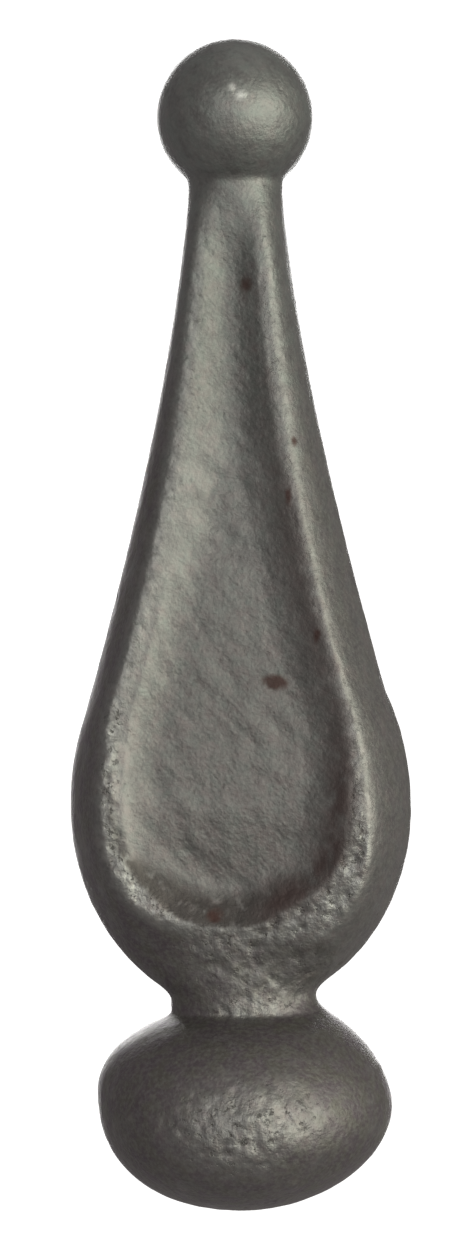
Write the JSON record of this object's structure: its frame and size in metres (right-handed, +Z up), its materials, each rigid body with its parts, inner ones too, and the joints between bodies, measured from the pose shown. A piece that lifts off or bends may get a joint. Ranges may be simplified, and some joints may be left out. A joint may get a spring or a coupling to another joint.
{
  "type": "fence spear point",
  "caption": "Cast iron fence spear point: flattened bulb to weld on a picket, neck, leaf with a sunken teardrop panel on both faces, shank and ball tip.",
  "frame": {"origin": "middle of the small flat under the bulb, where the spear point is welded on its picket", "axes": "+Z up through the ball, +X to the right seen from the front, the front panel faces -Y and the back panel +Y"},
  "size_m": [0.0442, 0.037, 0.15],
  "materials": {
    "cast_iron": "unpainted grey iron as cast: a fine sandy grain, rougher and pitted along the panel's rim, under it, on the neck and on the front of the bulb, with a few small rust spots"
  },
  "bodies": {
    "root": {"spear_point": "cast_iron"}
  },
  "joints": []
}
